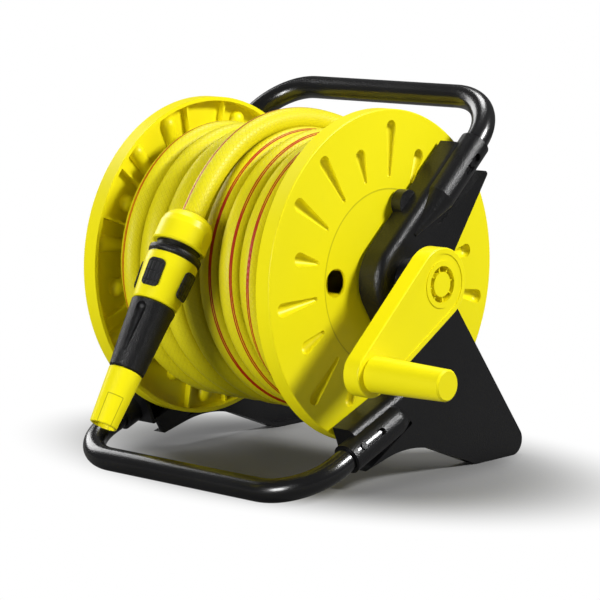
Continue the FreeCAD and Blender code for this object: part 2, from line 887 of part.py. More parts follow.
hose_clamp = hose_clamp.cut(
    cylinder(6.55, clamp_rise - 1, clamp_rise + 8, Vector(0, 0, 1), Vector(outlet_x, 0, 0))
)
shaped("hose_clamp", hose_clamp)

winding = doc.addObject("Part::Cut", "hose_winding")
winding.Label = "hose_winding"
for role, radius in (("Base", "winding_radius"), ("Tool", "barrel_radius + face_gap")):
    ring = doc.addObject("Part::Cylinder", "winding_" + role.lower())
    ring.setExpression("Radius", bound(radius))
    ring.setExpression("Height", bound("(drum_half_width - winding_margin) * 2"))
    setattr(winding, role, ring)
place(winding, Vector(-winding_half, 0, 0), Rotation(Vector(0, 1, 0), 90))

# ---------------------------------------------------------------- crank

crank_way = turn(size("crank_angle"))
crank_pin = crank_way * size("crank_throw")


def arm_block(inset, low, high):
    """Two discs joined by their outer tangents, between two distances along X."""
    axis = Vector(1, 0, 0)
    hub, end = size("crank_hub_radius") - inset, size("crank_end_radius") - inset
    slope = math.asin((hub - end) / size("crank_throw"))
    across = axis.cross(crank_way)
    sides = [
        crank_way * math.sin(slope) + across * (math.cos(slope) * sign) for sign in (1, -1)
    ]
    outline = [sides[0] * hub, crank_pin + sides[0] * end, crank_pin + sides[1] * end, sides[1] * hub]
    web = Part.Face(Part.makePolygon(outline + outline[:1])).extrude(axis * (high - low))
    web.translate(axis * low)
    return fused([web, cylinder(hub, low, high, axis), cylinder(end, low, high, axis, crank_pin)])


def crank_arm():
    """A tapered arm with a shallow recess inside its border, an inner boss, the square drive
    socket, the cap's recess and the grip pin's hole."""
    axis = Vector(1, 0, 0)
    arm = softened(arm_block(0, crank_inner, crank_outer), crank_outer, 1.2)
    recess = arm_block(size("arm_border"), crank_outer - size("arm_recess"), crank_outer + 1)
    for radius, middle in ((size("cap_radius") + 4, Vector()), (size("crank_end_radius"), crank_pin)):
        recess = recess.cut(cylinder(radius, crank_inner, crank_outer + 2, axis, middle))
    arm = arm.cut(recess)
    arm = arm.fuse(cylinder(size("crank_boss_radius"), boss_end + 1.5, crank_inner + 1, axis))
    clear = size("seat_gap")
    drive = square + 2 * clear
    arm = arm.cut(
        Part.makeBox(
            crank_outer - size("cap_thick") - boss_end,
            drive,
            drive,
            Vector(boss_end, -drive / 2, -drive / 2),
        )
    )
    cap_room = cylinder(
        size("cap_radius") + clear, crank_outer - size("cap_thick"), crank_outer + 1, axis
    )
    pin_room = cylinder(size("pin_radius") + clear, crank_inner - 1, crank_outer + 1, axis, crank_pin)
    pin_head_room = cylinder(7 + clear, crank_inner - 1, crank_inner + 3, axis, crank_pin)
    return arm.cut([cap_room, pin_room, pin_head_room]).removeSplitter()


shaped("crank_arm", crank_arm())


def crank_cap():
    """The hub's snap-in cap: a disc held by eight thin ribs, with a slot between each pair."""
    axis = Vector(1, 0, 0)
    start = crank_outer - size("cap_thick")
    cap = [cylinder(size("cap_disc_radius"), start, crank_outer - 0.3, axis)]
    for way in around(8, 10):
        rib = Part.makeBox(
            size("cap_thick") - 1.6,
            size("cap_radius") - 4,
            size("cap_rib"),
            Vector(start, 4, -size("cap_rib") / 2),
        )
        rib.rotate(Vector(), axis, math.degrees(math.atan2(way.z, way.y)))
        cap.append(rib)
    return fused(cap)


shaped("crank_cap", crank_cap())
crank_screw = cylinder(5.8, screw_seat, screw_seat + 1.4, Vector(1, 0, 0)).fuse(
    cylinder(crank_screw_radius, screw_seat - 17, screw_seat, Vector(1, 0, 0))
)
shaped("crank_screw", crank_screw.removeSplitter())
turned(
    "grip_pin",
    [
        ("0", "0"),
        ("0", "7"),
        ("3", "7"),
        ("3", "pin_radius"),
        ("crank_thick + grip_length - grip_cap - 3", "pin_radius"),
        ("crank_thick + grip_length - grip_cap - 1", "pin_radius - 1.5"),
        ("crank_thick + grip_length - grip_cap - 1", "0"),
    ],
    Vector(crank_inner, 0, 0) + crank_pin,
)
turned(
    "crank_grip",
    [
        ("0", "pin_radius + running_gap"),
        ("0", "grip_base_radius - 1"),
        ("1", "grip_base_radius"),
        ("grip_length - 1.2", "grip_end_radius"),
        ("grip_length", "grip_end_radius - 1.2"),
        ("grip_length", "0"),
        ("grip_length - grip_cap", "0"),
        ("grip_length - grip_cap", "pin_radius + running_gap"),
    ],
    Vector(grip_start, 0, 0) + crank_pin,
)

# ---------------------------------------------------------------- water inlet

inlet_bore = shaft_radius + size("running_gap")
axis_in = Vector(-1, 0, 0)
elbow = fused(
    [
        cylinder(size("elbow_radius"), elbow_start, elbow_end, axis_in),
        cylinder(9.5, 0, size("elbow_arm"), Vector(0, 0, -1), axis_in * elbow_middle),
    ]
)
elbow = elbow.cut(
    [
        cylinder(inlet_bore, elbow_start - 1, elbow_end - 2.5, axis_in),
        cylinder(5, 0, size("elbow_arm") - 10, Vector(0, 0, -1), axis_in * elbow_middle),
        cylinder(7.05, size("elbow_arm") - 12, size("elbow_arm") + 1, Vector(0, 0, -1),
                 axis_in * elbow_middle),
    ]
)
shaped("inlet_elbow", elbow)
turned(
    "inlet_nipple",
    [
        ("0", "4.5"),
        ("0", "7"),
        ("10.5", "7"),
        ("10.5", "9.3"),
        ("15", "9.3"),
        ("15", "nipple_radius - 1"),
        ("18", "nipple_radius - 1"),
        ("18", "nipple_radius"),
        ("18 + nipple_length - 6", "nipple_radius"),
        ("18 + nipple_length - 4", "nipple_radius - 1.5"),
        ("18 + nipple_length - 4", "4.5"),
    ],
    axis_in * elbow_middle + Vector(0, 0, -(size("elbow_arm") - 10.5)),
    Vector(0, 0, -1),
)

# ---------------------------------------------------------------- free hose end, connector, nozzle

nut_point = turn(size("nut_place_angle")) * size("nut_place_radius") + Vector(size("nut_place_x"), 0, 0)
lean = math.radians(size("nozzle_lean"))
spray_way = Vector(0, -math.sin(lean), -math.cos(lean))


def hose_end_turned(label, profile, start=0.0):
    """A turned piece on the hose end's axis, a distance below the nut's mouth."""
    return turned(label, profile, nut_point + spray_way * start, spray_way)


def hose_end_shaped(label, shape, start=0.0):
    """A piece shaped about its own X axis, on the hose end's axis."""
    return shaped(label, shape, nut_point + spray_way * start, Rotation(Vector(1, 0, 0), spray_way))


# the pads, flutes and dents are turned this far about the hose end's axis
PAD_TURN = 42.0


def connector_nut():
    """The rounded nut with a round dent for the thumb on each of two sides."""
    outer = size("nut_radius")
    length = size("nut_length")
    bore = hose_radius + 0.5
    nut = revolved(
        [
            (0, bore),
            (0, outer - 6.8),
            (2, outer - 4),
            (5.5, outer - 1.6),
            (10.5, outer - 0.2),
            (length - 1, outer),
            (length, outer - 0.8),
            (length, outer - 3.4),
            (9, outer - 3.4),
            (3, bore),
        ]
    )
    for half_turn in (0, 180):
        dent = Part.makeSphere(24, Vector(14.5, outer + 22.4, 0))
        dent.rotate(Vector(), Vector(1, 0, 0), PAD_TURN + half_turn)
        nut = nut.cut(dent)
    return nut


hose_end_shaped("connector_nut", connector_nut())
hose_end_turned(
    "hose_collet",
    [
        ("8", "hose_diameter / 2 + 0.05"),
        ("8", "hose_diameter / 2 + 2.4"),
        ("12", "hose_diameter / 2 + 5.5"),
        ("20", "hose_diameter / 2 + 7"),
        ("20", "hose_diameter / 2 + 0.05"),
    ],
)
hose_end_turned(
    "connector_core",
    [
        ("20", "3.5"),
        ("20", "nut_radius - 3.5"),
        ("nut_length", "nut_radius - 3.5"),
        ("nut_length", "sleeve_radius - 3.2"),
        ("sleeve_start + 1", "sleeve_radius - 3.2"),
        ("sleeve_start + 1", "core_radius - 1"),
        ("sleeve_start + 24", "core_radius - 1"),
        ("sleeve_start + 24", "core_radius"),
        ("sleeve_start + sleeve_length - 3", "core_radius"),
        ("sleeve_start + sleeve_length - 3", "plug_radius + 0.05"),
        ("42", "plug_radius + 0.05"),
        ("42", "3.5"),
    ],
)
hose_end_turned(
    "connector_ring",
    [
        ("nut_length + sleeve_travel + 0.6", "sleeve_radius - 3.2 + running_gap"),
        ("nut_length + sleeve_travel + 0.6", "ring_radius - 1.2"),
        ("nut_length + sleeve_travel + 1.2", "ring_radius - 0.3"),
        ("nut_length + sleeve_travel + 2.2", "ring_radius"),
        ("sleeve_start - 2.4", "ring_radius"),
        ("sleeve_start - 1.4", "ring_radius - 0.3"),
        ("sleeve_start - 0.8", "ring_radius - 1.2"),
        ("sleeve_start", "ring_radius - 1.2"),
        ("sleeve_start", "sleeve_radius - 3.2 + running_gap"),
    ],
)
hose_end_turned(
    "release_sleeve",
    [
        ("0", "sleeve_radius - 3.1"),
        ("0", "sleeve_radius - 0.6"),
        ("1", "sleeve_radius"),
        ("8", "sleeve_radius + 0.1"),
        ("sleeve_length - 1", "sleeve_end_radius"),
        ("sleeve_length", "sleeve_end_radius - 0.8"),
        ("sleeve_length", "core_radius + 0.05"),
        ("sleeve_length - 12", "core_radius + 0.05"),
        ("sleeve_length - 15", "sleeve_radius - 3.1"),
    ],
    size("sleeve_start"),
)


def sleeve_pads():
    """Four soft grip pads that follow the sleeve's outside."""
    pads = []
    axis = Vector(1, 0, 0)
    for index in range(4):
        block = Part.makeBox(21, 7, 13.5, Vector(7, 14, -6.75))
        corners = [edge for edge in block.Edges if edge.Length < 7.1 and abs(
            edge.Vertexes[0].X - edge.Vertexes[1].X) < 1e-6 and abs(
            edge.Vertexes[0].Z - edge.Vertexes[1].Z) < 1e-6]
        block = block.makeFillet(3.5, corners)
        shell = Part.makeCone(21.1, 19.6, 24, Vector(5, 0, 0), axis).cut(
            Part.makeCone(19.65, 18.38, 24, Vector(5, 0, 0), axis)
        )
        pad = block.common(shell)
        pad.rotate(Vector(), axis, 90 * index + PAD_TURN)
        pads.append(pad)
    return Part.makeCompound(pads)


hose_end_shaped("sleeve_pads", sleeve_pads(), size("sleeve_start"))

spring_turns = [
    Part.makeTorus(size("core_radius") - 0.35, 0.6, Vector(1.65 + 4.8 * count, 0, 0), Vector(1, 0, 0))
    for count in range(4)
]
hose_end_shaped("sleeve_spring", Part.makeCompound(spring_turns), size("sleeve_start"))


def nozzle_body():
    """The dark cone with its plug for the connector and three long teardrop flutes."""
    axis = Vector(1, 0, 0)
    length = size("nozzle_length")
    wide, narrow = size("nozzle_radius"), size("nozzle_end_radius")
    profile = [
        (44 - size("nozzle_start"), 0),
        (44 - size("nozzle_start"), size("plug_radius") - 1.4),
        (46 - size("nozzle_start"), size("plug_radius")),
        (50 - size("nozzle_start"), size("plug_radius")),
        (50 - size("nozzle_start"), size("plug_radius") - 1.5),
        (52.6 - size("nozzle_start"), size("plug_radius") - 1.5),
        (52.6 - size("nozzle_start"), size("plug_radius")),
        (0, size("plug_radius")),
        (0, wide - 1),
        (1, wide),
        (length - 1, narrow),
        (length, narrow - 1),
        (length, size("stem_radius")),
        (length + 16, size("stem_radius")),
        (length + 16, 0),
    ]
    body = revolved(profile)
    for index in range(3):
        flute = teardrop(8, length - 12, 4.6, 2.2, 0, Vector(0, 1, 0), 0)
        flute.rotate(Vector(), Vector(0, 0, 1), -90)
        slope = math.degrees(math.atan2(wide - narrow, length))
        flute.rotate(Vector(), Vector(0, 0, 1), -slope)
        flute.translate(Vector(0, wide + 1.6, 0))
        flute.rotate(Vector(), axis, 90 + 120 * index + PAD_TURN)
        body = body.cut(flute)
    return body.cut(cylinder(3.2, -60, length + 17, axis))


hose_end_shaped("nozzle_body", nozzle_body(), size("nozzle_start"))
hose_end_shaped(
    "plug_seal_ring",
    Part.makeTorus(size("plug_radius") - 0.75, 0.75, Vector(51.3, 0, 0), Vector(1, 0, 0)),
)
hose_end_turned(
    "nozzle_tip",
    [
        ("0", "stem_radius + running_gap"),
        ("0", "tip_radius - 0.6"),
        ("0.8", "tip_radius"),
        ("tip_length - 0.6", "tip_end_radius"),
        ("tip_length", "tip_end_radius - 0.6"),
        ("tip_length", "tip_end_radius - tip_wall"),
        ("tip_length - 14", "tip_end_radius - tip_wall - 1.2"),
        ("tip_length - 14", "4.2"),
        ("tip_length - 17", "4.2"),
        ("tip_length - 17", "stem_radius + running_gap"),
    ],
    size("nozzle_start") + size("nozzle_length") + 0.4,
)
hose_end_turned(
    "spray_pin",
    [
        ("0", "0"),
        ("0", "3.1"),
        ("14", "3.1"),
        ("14", "2.2"),
        ("26", "2.2"),
        ("29", "3.2"),
        ("31", "3.2"),
        ("31", "0"),
    ],
    size("nozzle_start") + size("nozzle_length"),
)

# Free hose end: it leaves the winding beside the crank side's flange, low at the back, crosses
# over the winding's back to the middle, and follows its top and front to the nut. Points are
# (x, angle about the drum axis, radius).
HOSE_ROUTE = (
    (72.7, -96.0, 98.4),
    (72.7, -71.0, 106.0),
    (72.4, -47.0, 114.5),
    (65.0, -24.0, 121.0),
    (51.0, -4.0, 121.5),
    (33.0, 16.0, 121.5),
    (16.0, 36.0, 121.0),
    (4.5, 56.0, 121.0),
    (1.7, 76.0, 121.0),
    (1.7, 96.0, 121.0),
    (3.0, 115.0, 121.4),
    (6.5, 133.5, 123.4),
)


def hose_path(points):
    """Straight runs joined by tangent arcs; prints each arc's radius."""
    edges = []
    start = points[0]
    for before, here, after in zip(points, points[1:], points[2:]):
        arriving = (here - before).normalize()
        leaving = (after - here).normalize()
        half = arriving.getAngle(leaving) / 2
        shorter = min((here - before).Length, (after - here).Length)
        radius = 0.45 * shorter / math.tan(half)
        print("hose bend radius", round(radius, 1), "run", round(shorter, 1))
        first = here - arriving * (0.45 * shorter)
        last = here + leaving * (0.45 * shorter)
        middle = here + (leaving - arriving).normalize() * (radius / math.cos(half) - radius)
        edges.append(Part.LineSegment(start, first).toShape())
        edges.append(Part.Arc(first, middle, last).toShape())
        start = last
    edges.append(Part.LineSegment(start, points[-1]).toShape())
    return Part.Wire(edges)


hose_points = [turn(angle) * radius + Vector(x, 0, 0) for x, angle, radius in HOSE_ROUTE]
hose_points.append(nut_point - spray_way * 8)
hose_points.append(nut_point + spray_way * 20)
hose_line = hose_path(hose_points)
hose_ring = Part.Wire([Part.makeCircle(hose_radius, hose_points[0], hose_points[1] - hose_points[0])])
hose_tube = hose_line.makePipeShell([hose_ring], True, False)
print("hose tube volume over section x length", hose_tube.Volume
      / (math.pi * hose_radius**2 * hose_line.Length), "length", hose_line.Length)
wound_radius = size("winding_radius") + size("running_gap")
wound = cylinder(wound_radius, -winding_half, winding_half, Vector(1, 0, 0))
shaped("hose_free_end", hose_tube.cut(wound))

# ---------------------------------------------------------------- check and write

doc.recompute()
helpers = {"winding_base", "winding_tool"}
pieces = [
    item
    for item in doc.Objects
    if item.TypeId in ("PartDesign::Body", "Part::Feature", "Part::Cut")
    and item.Name not in helpers
]
for item in doc.Objects:
    if "Invalid" in item.State or "Error" in item.State:
        raise RuntimeError(f"{item.Label} failed: {item.State}")
os.makedirs("parts", exist_ok=True)
for item in pieces:
    if item.Shape.isNull() or not item.Shape.isValid():
        raise RuntimeError(f"{item.Label} has no valid shape")
    item.Shape.exportStep(f"parts/{item.Label}.step")
    box = item.Shape.BoundBox
    print(item.Label, len(item.Shape.Solids), round(item.Shape.Volume), [
        round(value, 1) for value in (box.XMin, box.XMax, box.YMin, box.YMax, box.ZMin, box.ZMax)])
print("axle", axle, "nut", axle + nut_point, "spray", spray_way)
print("hose route", [tuple(round(v, 2) for v in axle + point) for point in hose_points])
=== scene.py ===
"""Looks for a compact garden hose reel: its hose, finishes and a plain studio."""

import math
import random

import bpy
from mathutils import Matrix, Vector


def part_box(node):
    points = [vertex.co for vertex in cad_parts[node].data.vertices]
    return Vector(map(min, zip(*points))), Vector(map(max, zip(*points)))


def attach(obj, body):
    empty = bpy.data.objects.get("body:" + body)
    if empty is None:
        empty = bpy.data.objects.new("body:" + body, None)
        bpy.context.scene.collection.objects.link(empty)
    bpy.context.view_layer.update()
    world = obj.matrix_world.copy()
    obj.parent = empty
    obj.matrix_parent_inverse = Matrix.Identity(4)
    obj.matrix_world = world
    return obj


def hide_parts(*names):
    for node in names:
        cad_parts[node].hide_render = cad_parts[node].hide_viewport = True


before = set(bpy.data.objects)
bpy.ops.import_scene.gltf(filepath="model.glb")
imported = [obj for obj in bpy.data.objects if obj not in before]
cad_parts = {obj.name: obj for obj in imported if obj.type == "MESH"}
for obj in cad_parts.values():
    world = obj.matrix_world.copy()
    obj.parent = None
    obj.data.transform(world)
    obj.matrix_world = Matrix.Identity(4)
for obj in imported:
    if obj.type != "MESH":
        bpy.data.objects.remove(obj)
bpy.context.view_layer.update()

bl_info = {
    "name": "Garden Hose Reel",
    "version": (1, 0, 0),
    "blender": (4, 5, 0),
    "location": "View3D > Sidebar > Hose Reel",
    "description": "Dresses the packed hose reel with its hose, finishes and a studio",
    "category": "Object",
}

MM = 0.001

# ------------------------------------------------------------------ places on the reel

# the drum, worked out from the plain winding in the frame
WINDING_LOW, WINDING_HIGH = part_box("hose_winding")
DRUM_AXIS = Vector((0, *((WINDING_LOW + WINDING_HIGH) / 2)[1:]))
DRUM_MIDDLE = (WINDING_LOW.x + WINDING_HIGH.x) / 2
WINDING_RADIUS = (WINDING_HIGH.z - WINDING_LOW.z) / 2
WINDING_HALF = (WINDING_HIGH.x - WINDING_LOW.x) / 2

# the hose end: where the hose enters its nut, the way from there to the nozzle's tip, a way across
# that, and how far before the nut's mouth and past it the hose's last two control points lie
NUT_MOUTH = Vector((-23.15, -128.243, 201.963)) * MM
SPRAY_WAY = Vector((0.0, -0.5373, -0.843391))
ACROSS = Vector((1, 0, 0))
HOSE_BEFORE_NUT = 8 * MM
HOSE_IN_NUT = 20 * MM

# the outer layer of the winding: each turn's place in mm from the drum's middle, and how far its
# stripe lies from the drum's outward side towards -X, in turns around the hose
OUTER_LANES = (-72.6, -52.2, -31.4, -9.3, 12.8, 32.6, 52.8, 72.7)
OUTER_LIES = (0.02, 0.34, 0.45, 0.30, -0.10, -0.12, -0.08, 0.30)

# the wound hose starts START_ANGLE degrees from +Y towards +Z and START_DIP under its layer, which
# it reaches in START_DIP_SHARE of a turn, and only LAST_TURN_SHARE of its last turn is wound. A turn
# keeps its lane, strays a little sideways and DEPTH_PER_STRAY times that inwards, and crosses to
# the next lane in its last CROSSING_SHARE
START_ANGLE = -60.0
START_DIP = 7 * MM
START_DIP_SHARE = 0.2
LAST_TURN_SHARE = 0.9
CROSSING_SHARE = 0.38
TURN_STEPS = 24
STRAY_SEED = 11
DEPTH_PER_STRAY = 1.5

# the free end's control points: mm from the drum's middle, degrees from +Y towards +Z, and mm from
# the axis. They follow the tube in the CAD model, closer in where it crosses the winding
FREE_END_ROUTE = (
    (72.7, -96.0, 98.4),
    (72.7, -84.0, 98.7),
    (72.7, -72.0, 100.2),
    (72.5, -60.0, 102.8),
    (72.0, -48.0, 106.0),
    (70.5, -36.0, 109.6),
    (66.5, -24.0, 113.2),
    (60.0, -12.0, 115.8),
    (52.0, 0.0, 116.6),
    (43.5, 12.0, 116.7),
    (35.0, 24.0, 116.7),
    (26.5, 36.0, 116.6),
    (18.0, 48.0, 116.4),
    (10.5, 60.0, 115.6),
    (5.0, 72.0, 114.2),
    (2.3, 84.0, 113.2),
    (1.9, 96.0, 113.0),
    (2.4, 108.0, 113.6),
    (4.0, 120.0, 115.1),
    (6.3, 132.0, 117.5),
    (8.8, 144.0, 121.0),
)
# how far the free end's stripe lies from the outward side at its start and at its end
FREE_END_LIES = (-0.10, 0.05)

# ------------------------------------------------------------------ sizes of the finishes

# the hose's wall: its sides, the map's value on its end faces, its braid, and its stripe, whose
# place, fading edge and middle line of painted highlight are in turns around the hose
HOSE_SIDES = 24
END_FACE_AROUND = 0.25
BRAID_THREADS = 12
BRAID_PITCH = 4.2 * MM
STRIPE_PLACE = 0.5
STRIPE_EDGE = (0.018, 0.023)
STRIPE_GLINT = (0.002, 0.005)

# the two tabs in the nozzle's tip: how far from the nut's mouth they start, and half a tab's width
# and how far both are shifted round, in turns
TAB_START = 146 * MM
TAB_HALF_WIDTH = 0.085
TAB_TURN = 0.12

# the raised bars of the soft grip, around it and along it
GRIP_BARS = 44
GRIP_BAR_PITCH = 7.5 * MM

# how far inside a hub cover's rim its joint line shows
COVER_SEAM_INSET = 0.6 * MM

# colours that aren't settings; steel and rubber each have a darker and a paler tone
TUBE_BLACK = (0.006, 0.006, 0.0065)
PALE_MOULDING = (0.5, 0.5, 0.48)
STEEL = ((0.42, 0.42, 0.43, 1), (0.66, 0.66, 0.67, 1))
RUBBER = ((0.010, 0.010, 0.011, 1), (0.022, 0.022, 0.022, 1))

# ------------------------------------------------------------------ the studio's sizes

WHITE = (1, 1, 1, 1)
# the world's strength to every ray but the camera's
WORLD_LIGHT = 0.09
# the grey painted on the patch under the object as a painted shadow, as the camera sees it, and the
# floor's grey as every other ray finds it
PAINTED_SHADOW_GREY = (0.25, 0.25, 0.25)
FLOOR_BOUNCE = (0.16, 0.16, 0.16, 1)
FLOOR_SIZE = 12.0
# the patch of floor that is painted grey as a painted shadow under the object and also keeps its
# cast shadows: squeezed along X, its middle is then here, and it fades out between these two
# distances
SHADOW_SQUEEZE = (0.6, 1, 1)
SHADOW_MIDDLE = (-0.012, 0.02, 0.0)
SHADOW_FADE = (0.09, 0.19)
LAMP_AIM = Vector((0, 0, 0.14))
# name, azimuth from the front and elevation in degrees, distance and width in metres, and watts
LAMPS = (
    ("lamp_front", 5, 10, 2.0, 0.6, 29),
    ("lamp_right", 118, 36, 1.8, 0.4, 35),
    ("lamp_back", -150, 62, 1.8, 0.6, 12),
    ("lamp_left", -90, 26, 1.8, 0.9, 14),
)
CAMERA_AIM = Vector((-0.02590, -0.00862, 0.12753))
CAMERA_AZIMUTH = 42.83
CAMERA_ELEVATION = 8.55
CAMERA_DISTANCE = 2.0446
CAMERA_LENS = 159.8
CAMERA_SENSOR = 36
CAMERA_CLIP_END = 50


def on_drum(x, degrees, radius):
    """Point by its distance from the drum's middle, its angle from +Y towards +Z and its radius."""
    angle = math.radians(degrees)
    y = DRUM_AXIS.y + radius * math.cos(angle)
    z = DRUM_AXIS.z + radius * math.sin(angle)
    return Vector((DRUM_MIDDLE + x, y, z))


def between(first, second, share):
    """The value that lies a share of the way from the first to the second."""
    return first * (1 - share) + second * share


# ------------------------------------------------------------------ shader maths


class Signal:
    """A number, colour, vector or shader that comes out of a shader node."""

    def __init__(self, finish, socket):
        self.finish = finish
        self.socket = socket

    def math(self, operation, other, swapped=False):
        values = (other, self) if swapped else (self, other)
        return self.finish.node("ShaderNodeMath", {"operation": operation}, *values)

    def __add__(self, other):
        return self.math("ADD", other)

    def __sub__(self, other):
        return self.math("SUBTRACT", other)

    def __rsub__(self, other):
        return self.math("SUBTRACT", other, True)

    def __mul__(self, other):
        return self.math("MULTIPLY", other)

    def __truediv__(self, other):
        return self.math("DIVIDE", other)

    def __lt__(self, other):
        return self.math("LESS_THAN", other)

    def __gt__(self, other):
        return self.math("GREATER_THAN", other)

    __radd__ = __add__
    __rmul__ = __mul__

    def wrapped(self, period):
        """The value brought into 0 to period, also from below 0."""
        return self.math("MODULO", period).math("ADD", period).math("MODULO", period)

    def distance_to(self, value):
        return self.finish.node("ShaderNodeMath", {"operation": "ABSOLUTE"}, self - value)

    def ramp(self, low, high):
        """0 at low and below, 1 at high and above, smooth between."""
        return self.finish.node(
            "ShaderNodeMapRange",
            {"interpolation_type": "SMOOTHSTEP"},
            Value=self,
            **{"From Min": low, "From Max": high},
        )


class Finish:
    """A material that is built around one Principled shader."""

    def __init__(self, name, **constants):
        self.material = bpy.data.materials.new(name)
        self.material.use_nodes = True
        self.tree = self.material.node_tree
        self.tree.nodes.clear()
        self.shader = self.tree.nodes.new("ShaderNodeBsdfPrincipled")
        self.output = self.tree.nodes.new("ShaderNodeOutputMaterial")
        self.tree.links.new(self.shader.outputs[0], self.output.inputs[0])
        for socket_name, value in constants.items():
            self.set(socket_name.replace("_", " "), value)

    def feed(self, socket, value):
        """Links a signal to a socket, or gives the socket a constant value."""
        if isinstance(value, Signal):
            self.tree.links.new(value.socket, socket)
        else:
            socket.default_value = value

    def set(self, name, value):
        self.feed(self.shader.inputs[name], value)

    def node(self, kind, settings, *values, out=0, **named):
        made = self.tree.nodes.new(kind)
        for name, value in settings.items():
            setattr(made, name, value)
        for key, value in [*enumerate(values), *named.items()]:
            self.feed(made.inputs[key], value)
        return Signal(self, made.outputs[out])

    def vector(self, operation, first, second, out=0):
        """Vector maths; out is "Value" for an operation that gives a number."""
        return self.node("ShaderNodeVectorMath", {"operation": operation}, first, second, out=out)

    def place(self):
        return self.node("ShaderNodeTexCoord", {}, out="Object")

    def noise(self, scale, detail, rough=0.5):
        """Soft blotches, about as many to the metre as scale says."""
        return self.node(
            "ShaderNodeTexNoise",
            {"noise_dimensions": "3D"},
            Vector=self.place(),
            Scale=scale,
            Detail=detail,
            Roughness=rough,
        )

    def cells(self, scale):
        """Small dimples, about as many to the metre as scale says."""
        return self.node("ShaderNodeTexVoronoi", {}, Vector=self.place(), Scale=scale)

    def mix(self, amount, first, second):
        mixed = self.tree.nodes.new("ShaderNodeMix")
        mixed.data_type = "RGBA"
        for index, value in ((0, amount), (6, first), (7, second)):
            self.feed(mixed.inputs[index], value)
        return Signal(self, mixed.outputs[2])

    def shades(self, amount, colour, first, second):
        """Goes from one shade of a colour to another."""
        return self.mix(amount, shade(colour, first), shade(colour, second))

    def bump(self, height, distance, strength=1.0):
        raised = self.node(
            "ShaderNodeBump", {}, Strength=strength, Distance=distance, Height=height
        )
        self.set("Normal", raised)


def shade(colour, factor):
    return tuple(channel * factor for channel in colour[:3]) + (1.0,)


# ------------------------------------------------------------------ finishes


def moulded_black(name, colour, grain, depth, roughness):
    """Black moulding with a fine grain, faint scuffs and slightly paler high spots."""
    finish = Finish(name, Specular_IOR_Level=0.4)
    leather = finish.cells(grain)
    fine = finish.noise(scale=grain * 2.2, detail=2.0)
    cloud = finish.noise(scale=14.0, detail=3.0)
    scuff = finish.noise(scale=60.0, detail=6.0, rough=0.7).ramp(0.62, 0.78)
    tone = finish.shades(cloud, colour, 0.8, 1.35)
    finish.set("Base Color", finish.mix(scuff * 0.35, tone, shade(colour, 2.6)))
    finish.set("Roughness", cloud * 0.10 + scuff * 0.08 + (roughness - 0.05))
    finish.bump(leather * 0.8 + fine * 0.5, depth)
    return finish.material


def coated_tube(name, colour):
    """Gloss black powder coat with its orange peel."""
    finish = Finish(name, Coat_Weight=0.35, Coat_Roughness=0.12)
    peel = finish.noise(scale=1500.0, detail=3.0)
    cloud = finish.noise(scale=25.0, detail=2.0)
    finish.set("Base Color", finish.shades(cloud, colour, 0.8, 1.5))
    finish.set("Roughness", cloud * 0.06 + peel * 0.08 + 0.16)
    finish.bump(peel, 0.25 * MM, strength=0.35)
    return finish.material


def semi_gloss(name, colour, roughness):
    """Semi-gloss moulding with faint flow marks and a little dust. Gives the finish, and its tone
    for what is drawn over it."""
    finish = Finish(name, Specular_IOR_Level=0.25)
    cloud = finish.noise(scale=9.0, detail=3.0)
    fine = finish.noise(scale=900.0, detail=2.0)
    dust = finish.noise(scale=45.0, detail=5.0, rough=0.65).ramp(0.6, 0.8)
    tone = finish.shades(cloud, colour, 0.965, 1.03)
    tone = finish.mix(dust * 0.18, tone, shade(colour, 0.86))
    finish.set("Base Color", tone)
    finish.set("Roughness", cloud * 0.08 + fine * 0.08 + dust * 0.06 + (roughness - 0.08))
    finish.bump(fine * 0.5 + cloud * 0.5, 0.2 * MM, strength=0.5)
    return finish, tone


def plain_moulding(name, colour, roughness):
    """Semi-gloss moulding with nothing drawn on it."""
    finish, _ = semi_gloss(name, colour, roughness)
    return finish.material


def cover_moulding(name, colour, roughness, seam):
    """Semi-gloss moulding with a shadowed joint line at a radius about the drum's axis."""
    finish, tone = semi_gloss(name, colour, roughness)
    about = finish.vector("MULTIPLY", finish.place(), (0, 1, 1))
    out = finish.vector("DISTANCE", about, tuple(DRUM_AXIS), out="Value")
    line = 1 - out.distance_to(seam).ramp(0.3 * MM, 0.9 * MM)
    finish.set("Base Color", finish.mix(line * 0.45, tone, shade(colour, 0.35)))
    return finish.material


def hose_end_places(finish):
    """How far a place is along the hose end from its nut, and its turn about that axis."""
    from_mouth = finish.vector("SUBTRACT", finish.place(), tuple(NUT_MOUTH))
    along, across, up = (
        finish.vector("DOT_PRODUCT", from_mouth, tuple(way), out="Value")
        for way in (SPRAY_WAY, ACROSS, SPRAY_WAY.cross(ACROSS))
    )
    return along, across.math("ARCTAN2", up) / (2 * math.pi)


def tip_moulding(name, colour, roughness):
    """Semi-gloss moulding with a tab cut in each half of its end: a line across, two along."""
    finish, tone = semi_gloss(name, colour, roughness)
    along, turned = hose_end_places(finish)
    off_middle = (turned + TAB_TURN).wrapped(0.5).distance_to(0.25)
    at_start = 1 - along.distance_to(TAB_START).ramp(0.2 * MM, 0.6 * MM)
    at_sides = 1 - off_middle.distance_to(TAB_HALF_WIDTH).ramp(0.003, 0.007)
    across = at_start * (off_middle < TAB_HALF_WIDTH)
    lengthwise = at_sides * (along > TAB_START)
    tab = across.math("MAXIMUM", lengthwise)
    finish.set("Base Color", finish.mix(tab * 0.6, tone, shade(colour, 0.25)))
    return finish.material


